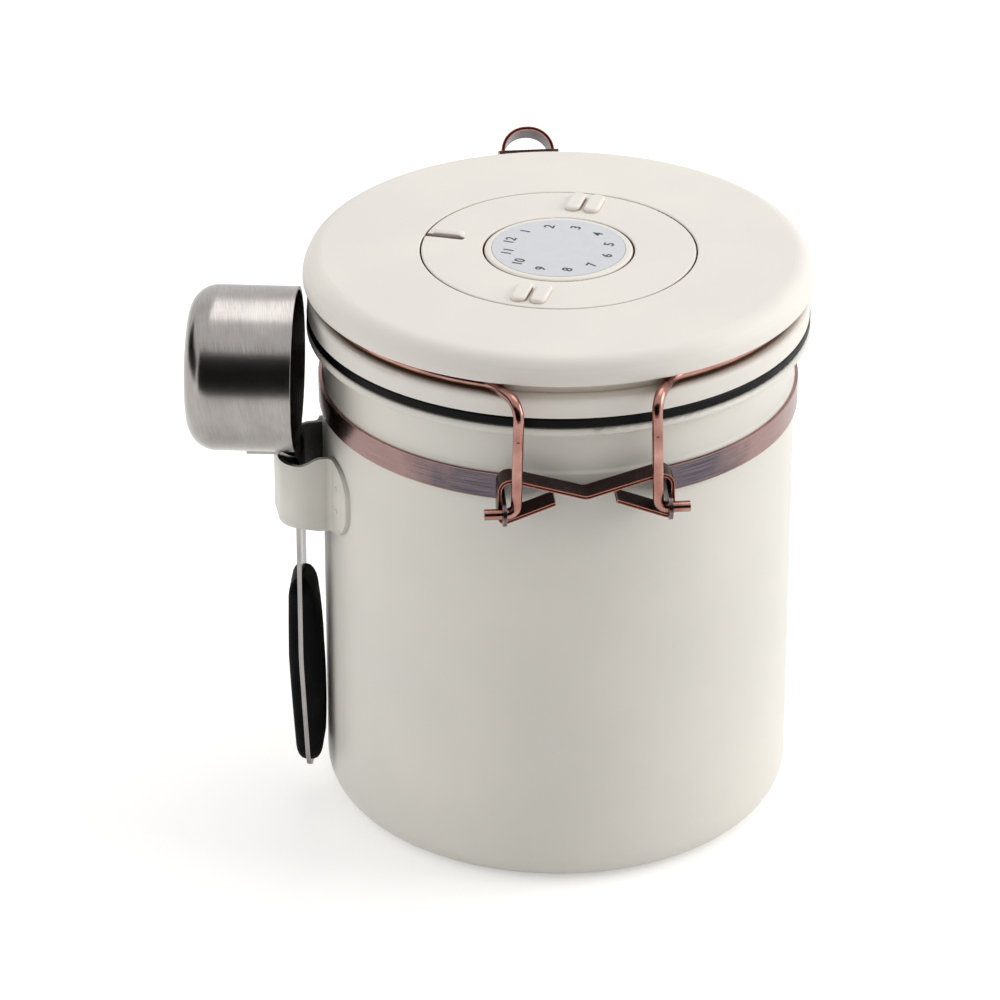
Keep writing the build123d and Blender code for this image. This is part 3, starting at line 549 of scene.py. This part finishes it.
class CANISTER_PG_finish(PropertyGroup):
    """Colours of the canister's finishes."""

    coat_cool: colour("Coat", "#E2DFD7", "Powder coat, cooler patches")
    coat_warm: colour("Coat, warm", "#E8E4DB", "Powder coat, warmer patches")
    # Painted shade in the coat's crevices
    crevice: colour("Coat in crevices", "#A39D8B", "Powder coat where it lies deep")
    strap: colour("Strap", "#C9C5BA", "Powder coat of the holster's strap")
    # A painted shade: this dark colour stands in for the shade inside the holster's strap
    strap_inside: colour("Strap, inside", "#2B2A2C", "Thin coat inside the holster's strap")
    plastic_cool: colour("Lid", "#EDE8E1", "Lid plastic, cooler patches")
    plastic_warm: colour("Lid, warm", "#F1ECE3", "Lid plastic, warmer patches")
    # Painted golden shade where the lid's walls meet
    plastic_crevice: colour("Lid in crevices", "#D9B47C", "Lid plastic where walls meet")
    # Painted dark shade deep in the lid's slots and seams
    plastic_deep: colour("Lid, deep", "#6A4726", "Lid plastic deep in slots and seams")
    film: colour("Label", "#D5D7DC", "Printed film of the dial label")
    film_pale: colour("Label, pale", "#DADBDF", "Printed film, paler mottle")
    ink: colour("Ink", "#24252C", "Ink of the numerals")
    ink_thin: colour("Ink, thin", "#474955", "Ink where it is thin")
    rubber: colour("Rubber", "#020203", "Black seal and grips")
    rubber_bloom: colour("Rubber, bloomed", "#08080A", "Black rubber where it has greyed")
    valve_white: colour("Valve", "#E4E4E0", "Valve plastic")
    paper: colour("Filter", "#C8B792", "Filter paper")
    paper_pale: colour("Filter, pale", "#E2D6B8", "Filter paper's paler fibres")
    mahogany: colour("Strip", "#250F0F", "Darkened copper of the pressed strips")
    mahogany_worn: colour("Strip, worn", "#45201C", "Darkened copper where it is handled")
    copper: colour("Copper", "#C3978C", "Antiqued copper where it is worn")
    copper_bright: colour("Copper, bright", "#D08E7C", "Copper rubbed bright on edges")
    copper_dark: colour("Copper, dark", "#8A5A50", "Antiqued copper, darker patches")
    # Painted shade on the wire where it lies deep
    copper_black: colour("Copper, black", "#1C1011", "Copper's black where it lies deep")
    # Painted reflection: the blue-grey mirrored by the band's front, which faces the camera
    band_blue: colour("Band", "#343A46", "Blackened band, blue-grey patches")
    band_brown: colour("Band, brown", "#8E726E", "Blackened band, brown patches")
    band_pale: colour("Band, pale", "#B9A09E", "Brushed hairs on the band")
    steel: colour("Steel", "#A39E9B", "Stainless steel")
    steel_pale: colour("Steel, pale", "#B4B0AC", "Stainless steel, paler patches")
    steel_dark: colour("Steel, dark", "#7C7775", "Stainless steel in the hairs")
    # Painted shade deep inside the cup
    steel_inside: colour("Steel, inside", "#070708", "Stainless steel deep in the cup")
    cup_radius: length("Cup radius", 21.8, "Radius that the cup's brushed hairs follow")


class CANISTER_PG_dial(PropertyGroup):
    """Sizes of what is printed on the dial."""

    figure_ring: length("Ring radius", 13.5, "Radius of the ring of numerals")
    figure_height: length("Figure size", 3.9, "Type size of the numerals")
    figure_weight: length("Figure weight", 0.05, "Extra half width of the numerals' strokes")
    figure_thickness: length("Ink thickness", 0.05, "Thickness of the printed ink")
    twelve_bearing: angle("Twelve", 154.0, "Bearing of the 12 from +X")


class CANISTER_PG_stage(PropertyGroup):
    """Camera, lamps and backdrop."""

    camera_place: position("Camera place", (-131.3, -1225.9, 728.3), "Where the camera stands")
    camera_tilt: angle("Camera tilt", 62.36, "Camera's tilt up from straight down")
    camera_bearing: angle("Camera bearing", -5.4, "Camera's turn about the upright axis")
    camera_lens: FloatProperty(
        name="Lens", description="Focal length in millimetres", default=187.0, unit="CAMERA"
    )
    floor_colour: colour("Floor", "#F2F1EF", "Pale floor")
    floor_half: length("Floor reach", 6000.0, "Half the floor's width")
    floor_lift: amount("Floor lift", 0.42, "Glow that whitens the floor where it is seen")
    sky_colour: colour("Backdrop", "#FFFFFF", "Backdrop and even light")
    ambient: amount("Ambient", 0.43, "Strength of the world's even light")
    over_place: position("Top lamp", (250, 450, 1350), "Where the soft box overhead hangs")
    over_size: length("Top lamp size", 1100, "Width of the soft box overhead")
    over_power: amount("Top lamp power", 6.0, "Watts of the soft box overhead")
    right_place: position("Right lamp", (1300, -100, 650), "Where the right soft box stands")
    right_size: length("Right lamp size", 900, "Width of the soft box at the right")
    right_power: amount("Right lamp power", 10.5, "Watts of the soft box at the right")
    left_place: position("Left fill", (-1300, -50, 420), "Where the left fill stands")
    left_size: length("Left fill size", 900, "Width of the soft fill at the left")
    left_power: amount("Left fill power", 5.2, "Watts of the soft fill at the left")
    front_card_place: position("Front card", (-130, -430, 226), "Middle of the front black card")
    front_card_width: length("Front card width", 1040, "Width of the black card in front")
    front_card_height: length("Front card height", 520, "Height of the black card in front")
    left_card_place: position("Left card", (-1500, 300, 350), "Middle of the left black card")
    left_card_width: length("Left card width", 1600, "Width of the black card at the left")
    left_card_height: length("Left card height", 640, "Height of the black card at the left")
    card_colour: colour("Cards", "#0A0A0B", "Black cards beside the object")
    aim_height: length("Aim height", 90, "Height that the lamps and cards face")


# Operators

def finish_colours():
    """Colours that the panel's settings give."""
    return bpy.context.scene.canister_finish


class CANISTER_OT_can(Operator):
    """Coats the drawn steel body and its holster"""

    bl_idname = "canister.can"
    bl_label = "Body and holster"

    def execute(self, context):
        look = finish_colours()
        finish_node("canister_body", powder_coated_steel(
            "powder_coated_can", look.coat_cool, look.coat_warm, look.crevice,
            reach=2.2, start=0.25, full=0.95,
        ))
        # The wider reach paints shade into the pocket between the strap and the body
        finish_node("holster", powder_coated_steel(
            "powder_coated_strap", look.strap, look.coat_cool, look.strap_inside,
            reach=14, start=0.3, full=0.62,
        ))
        return {"FINISHED"}


class CANISTER_OT_holster_welds(Operator):
    """Adds the pairs of small spot welds on the holster's two flanges"""

    bl_idname = "canister.holster_welds"
    bl_label = "Holster welds"

    weld_radius: length("Weld radius", 0.6, "Radius of a spot weld's mark")
    weld_rise: length("Weld rise", 0.3, "Height of a spot weld's mark")
    weld_pitch: length("Weld pitch", 6.8, "Distance between a flange's two welds")
    flange_face: length("Flange face", 63.7, "Distance of the flange's face from the body's axis")
    holster_bearing: angle("Holster bearing", 184.6, "Direction of the holster from +X")
    weld_spread: angle("Weld spread", 13.6, "Turn from the holster's middle to its welds")

    def execute(self, context):
        low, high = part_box("holster")
        middle = (low.z + high.z) / 2
        marks = bmesh.new()
        for side in (-1, 1):
            bearing = self.holster_bearing + side * self.weld_spread
            for step in (-1, 1):
                spot = polar(self.flange_face, bearing, middle + step * self.weld_pitch / 2)
                dome(marks, facing(spot, polar(1, bearing, 0)), self.weld_radius, self.weld_rise)
        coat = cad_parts["holster"].data.materials[0]
        new_piece("holster_spot_welds", marks, coat, "canister")
        return {"FINISHED"}


class CANISTER_OT_lid(Operator):
    """Finishes the lid's moulded parts, its liner and its seal"""

    bl_idname = "canister.lid"
    bl_label = "Lid"

    def execute(self, context):
        plastic = moulded_abs(finish_colours())
        for node in ("lid_shell", "lid_collar", "date_ring", "dial_cap"):
            finish_node(node, plastic)
        finish_node("lid_gasket", moulded_silicone(finish_colours()))
        finish_node("lid_liner", pressed_stainless(finish_colours()))
        return {"FINISHED"}


class CANISTER_OT_dial_print(Operator):
    """Prints the dial's label and its ring of plain numerals"""

    bl_idname = "canister.dial_print"
    bl_label = "Dial print"

    def execute(self, context):
        dial = context.scene.canister_dial
        finish_node("dial_label", printed_film(finish_colours()))
        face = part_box("dial_label")[1].z
        upward = dial.twelve_bearing
        figures = bmesh.new()
        for figure in range(1, FIGURES + 1):
            mesh = numeral_mesh(
                figure, dial.figure_height, dial.figure_weight, dial.figure_thickness
            )
            bearing = upward - figure * 2 * pi / FIGURES
            spot = polar(dial.figure_ring, bearing, face + dial.figure_thickness / 2)
            mesh.transform(Matrix.Translation(spot) @ Matrix.Rotation(upward - pi / 2, 4, "Z"))
            figures.from_mesh(mesh)
            bpy.data.meshes.remove(mesh)
        new_piece("dial_numerals", figures, screen_ink(finish_colours()), "lid")
        return {"FINISHED"}


class CANISTER_OT_clamp(Operator):
    """Finishes the clamp band, its tie, the lid wire and the latch"""

    bl_idname = "canister.clamp"
    bl_label = "Clamp and latch"

    def execute(self, context):
        strip = antiqued_copper_strip(finish_colours())
        finish_node("lid_wire", antiqued_copper_wire(finish_colours()))
        for node in ("band_tie", "latch_lever", "latch_keeper"):
            finish_node(node, strip)
        finish_node("clamp_band", blackened_band_steel(finish_colours()))
        return {"FINISHED"}


class CANISTER_OT_wire_marks(Operator):
    """Adds the small round mark that the bending tool leaves on each leg of the wire"""

    bl_idname = "canister.wire_marks"
    bl_label = "Wire marks"

    mark_height: length("Mark height", 137.4, "Height of the marks above the base")
    mark_radius: length("Mark radius", 0.5, "Radius of a mark")
    mark_rise: length("Mark rise", 0.12, "Height of a mark above the wire")
    leg_spread: length("Leg spread", 17.6, "Distance of a leg from the middle")

    def execute(self, context):
        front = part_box("lid_wire")[0].y
        marks = bmesh.new()
        for side in (-1, 1):
            spot = Vector((side * self.leg_spread, front, self.mark_height))
            dome(marks, facing(spot, Vector((0, -1, 0))), self.mark_radius, self.mark_rise)
        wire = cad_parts["lid_wire"].data.materials[0]
        new_piece("lid_wire_marks", marks, wire, "lid")
        return {"FINISHED"}


class CANISTER_OT_scoop(Operator):
    """Finishes the scoop's brushed cup and handle and its two rubber grips"""

    bl_idname = "canister.scoop"
    bl_label = "Scoop"

    cup_bearing: angle("Cup bearing", 171.2, "Direction of the cup's axis from +X")

    def execute(self, context):
        low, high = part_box("scoop_cup")
        steel = brushed_stainless(finish_colours(), (low + high) / 2, self.cup_bearing)
        for node in ("scoop_cup", "scoop_handle"):
            finish_node(node, steel)
        rubber = moulded_grip_rubber(finish_colours())
        for node in ("scoop_grip_outer", "scoop_grip_inner"):
            finish_node(node, rubber)
        return {"FINISHED"}


class CANISTER_OT_valve(Operator):
    """Finishes the one-way gas valve under the dial"""

    bl_idname = "canister.valve"
    bl_label = "Gas valve"

    def execute(self, context):
        plastic = moulded_polypropylene(finish_colours())
        for node in ("valve_seat", "valve_retainer"):
            finish_node(node, plastic)
        finish_node("valve_disc", moulded_silicone(finish_colours()))
        finish_node("valve_filter", pressed_filter_paper(finish_colours()))
        return {"FINISHED"}


class CANISTER_OT_stage(Operator):
    """Sets up the pale floor, the studio lamps, the world and the camera"""

    bl_idname = "canister.stage"
    bl_label = "Stage"

    def execute(self, context):
        stage = context.scene.canister_stage
        self.floor(stage)
        self.world(context.scene, stage)
        self.lamps(context.scene, stage)
        self.cards(context.scene, stage)
        self.camera(context.scene, stage)
        context.scene.view_settings.view_transform = "Standard"
        return {"FINISHED"}

    def floor(self, stage):
        """Matt floor that keeps the shadow and brightens to white where the camera sees it."""
        material, tree = new_material("matt_paper_floor")
        paper = add(tree, "ShaderNodeBsdfDiffuse", {"Color": stage.floor_colour})
        lift = {0: white_where_seen(tree), 1: stage.floor_lift}
        lift = add(tree, "ShaderNodeMath", lift, operation="MULTIPLY")
        glow = add(tree, "ShaderNodeEmission", {"Strength": lift})
        both = add(tree, "ShaderNodeAddShader", {0: paper, 1: glow})
        add(tree, "ShaderNodeOutputMaterial", {"Surface": both})
        flat_sheet("floor", stage.floor_half, stage.floor_half, material)

    def world(self, scene, stage):
        """Even white light, and plain white where it is seen directly or in gloss."""
        world = bpy.data.worlds.new("studio")
        world.use_nodes = True
        tree = world.node_tree
        tree.nodes.clear()
        strength = {0: white_where_seen(tree), 1: 1 - stage.ambient, 2: stage.ambient}
        strength = add(tree, "ShaderNodeMath", strength, operation="MULTIPLY_ADD")
        light = {"Color": stage.sky_colour, "Strength": strength}
        light = add(tree, "ShaderNodeBackground", light)
        add(tree, "ShaderNodeOutputWorld", {"Surface": light})
        scene.world = world

    def lamps(self, scene, stage):
        """Soft boxes overhead and at the right, and a fill at the left that gloss doesn't see."""
        aim = Vector((0, 0, stage.aim_height))
        for name, spot, size, power, glossy in (
            ("soft_box_over", stage.over_place, stage.over_size, stage.over_power, True),
            ("soft_box_right", stage.right_place, stage.right_size, stage.right_power, True),
            ("fill_left", stage.left_place, stage.left_size, stage.left_power, False),
        ):
            lamp = bpy.data.lights.new(name, "AREA")
            lamp.shape = "SQUARE"
            lamp.size = size
            lamp.energy = power
            holder = bpy.data.objects.new(name, lamp)
            holder.matrix_world = facing(spot, spot - aim)
            holder.visible_glossy = glossy
            scene.collection.objects.link(holder)

    def cards(self, scene, stage):
        """Black cards that only gloss sees: they give the metal its dark bands."""
        aim = Vector((0, 0, stage.aim_height))
        material, tree = new_material("black_card")
        black = add(tree, "ShaderNodeBsdfDiffuse", {"Color": stage.card_colour})
        add(tree, "ShaderNodeOutputMaterial", {"Surface": black})
        for name, spot, width, height in (
            ("card_front", stage.front_card_place, stage.front_card_width,
             stage.front_card_height),
            ("card_left", stage.left_card_place, stage.left_card_width, stage.left_card_height),
        ):
            card = flat_sheet(name, width / 2, height / 2, material)
            card.matrix_world = facing(spot, spot - aim)
            card.visible_camera = False
            card.visible_diffuse = False
            card.visible_shadow = False

    def camera(self, scene, stage):
        """Long lens at the photograph's angle."""
        camera = bpy.data.cameras.new("camera")
        camera.lens = stage.camera_lens
        camera.sensor_width = SENSOR_WIDTH
        holder = bpy.data.objects.new("camera", camera)
        holder.location = stage.camera_place
        holder.rotation_euler = (stage.camera_tilt, 0, stage.camera_bearing)
        scene.collection.objects.link(holder)
        scene.camera = holder


class CANISTER_PT_panel(Panel):
    """Lists the canister's finishing steps"""

    bl_idname = "CANISTER_PT_panel"
    bl_label = "Coffee canister"
    bl_space_type = "VIEW_3D"
    bl_region_type = "UI"
    bl_category = "Canister"

    def draw(self, context):
        for step in STEPS:
            self.layout.operator(step.bl_idname)


STEPS = (
    CANISTER_OT_can,
    CANISTER_OT_holster_welds,
    CANISTER_OT_lid,
    CANISTER_OT_dial_print,
    CANISTER_OT_clamp,
    CANISTER_OT_wire_marks,
    CANISTER_OT_scoop,
    CANISTER_OT_valve,
    CANISTER_OT_stage,
)
GROUPS = (
    ("canister_finish", CANISTER_PG_finish),
    ("canister_dial", CANISTER_PG_dial),
    ("canister_stage", CANISTER_PG_stage),
)


def register():
    """Registers the settings, the steps and the panel."""
    for name, group in GROUPS:
        bpy.utils.register_class(group)
        setattr(bpy.types.Scene, name, PointerProperty(type=group))
    for step in (*STEPS, CANISTER_PT_panel):
        bpy.utils.register_class(step)


def unregister():
    """Takes the panel, the steps and the settings away again."""
    for step in reversed((*STEPS, CANISTER_PT_panel)):
        bpy.utils.unregister_class(step)
    for name, group in reversed(GROUPS):
        delattr(bpy.types.Scene, name)
        bpy.utils.unregister_class(group)


def main():
    """Registers the add-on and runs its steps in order."""
    register()
    for step in STEPS:
        family, name = step.bl_idname.split(".")
        getattr(getattr(bpy.ops, family), name)()


if __name__ == "__main__":
    main()
